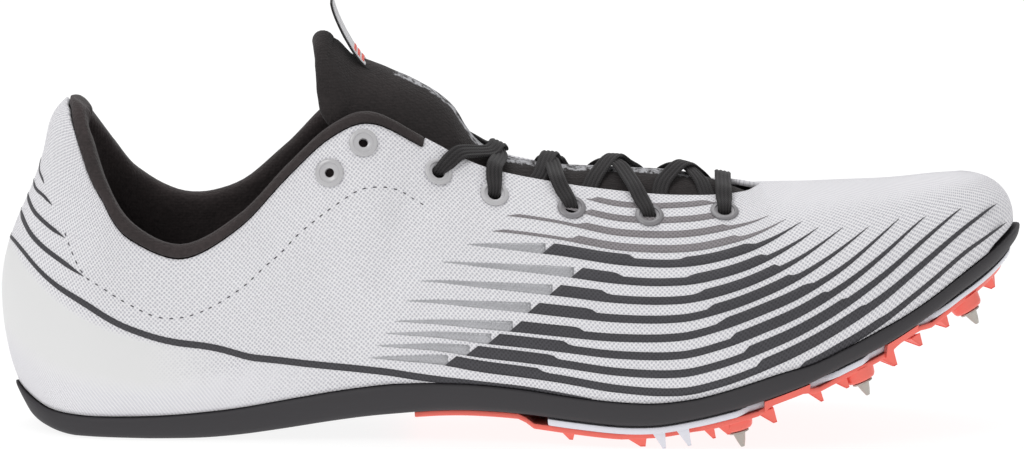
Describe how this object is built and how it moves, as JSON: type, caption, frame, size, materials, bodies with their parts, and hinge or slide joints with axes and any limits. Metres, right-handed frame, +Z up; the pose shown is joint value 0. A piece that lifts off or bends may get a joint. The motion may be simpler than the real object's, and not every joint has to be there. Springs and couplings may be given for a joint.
{
  "type": "track spike shoe",
  "caption": "Right-foot track sprint shoe with a mesh upper, padded collar and tongue, laced throat, upturned toe and a spiked, toothed forefoot plate",
  "frame": {"origin": "middle of the box round the shoe, on the floor it stands on", "axes": "+X from heel to toe, +Y to the inner (medial) side, +Z up"},
  "size_m": [0.285, 0.0936, 0.1217],
  "materials": {
    "upper_mesh": "woven mesh, pale grey white, matt",
    "collar_knit": "brushed knit, charcoal",
    "midsole_foam": "moulded foam, charcoal",
    "plate_white": "moulded plate, pale lavender white",
    "outsole_coral": "moulded traction plate, coral",
    "insole_foam": "cloth-faced foam, light grey",
    "tongue_knit": "knit over foam, black",
    "tab_webbing": "woven tape",
    "eyelet_clear": "translucent moulded rings",
    "lace_cord": "flat ribbed lace, black",
    "spike_steel": "machined steel"
  },
  "bodies": {
    "root": {"upper": "upper_mesh", "collar": "collar_knit", "midsole": "midsole_foam", "plate": "plate_white", "outsole": "outsole_coral", "insole": "insole_foam", "tongue": "tongue_knit", "tongue_tab": "tab_webbing", "lace_bar": "lace_cord", "lace_cross_1": "lace_cord", "lace_cross_2": "lace_cord", "lace_cross_3": "lace_cord", "lace_cross_4": "lace_cord", "eyelet_lateral_1": "eyelet_clear", "eyelet_lateral_2": "eyelet_clear", "eyelet_lateral_3": "eyelet_clear", "eyelet_lateral_4": "eyelet_clear", "eyelet_lateral_5": "eyelet_clear", "eyelet_lateral_6": "eyelet_clear", "eyelet_lateral_7": "eyelet_clear", "eyelet_medial_1": "eyelet_clear", "eyelet_medial_2": "eyelet_clear", "eyelet_medial_3": "eyelet_clear", "eyelet_medial_4": "eyelet_clear", "eyelet_medial_5": "eyelet_clear", "eyelet_medial_6": "eyelet_clear", "eyelet_medial_7": "eyelet_clear", "spike_lateral_1": "spike_steel", "spike_lateral_2": "spike_steel", "spike_lateral_3": "spike_steel", "spike_medial_1": "spike_steel", "spike_medial_2": "spike_steel", "spike_medial_3": "spike_steel"}
  },
  "joints": []
}
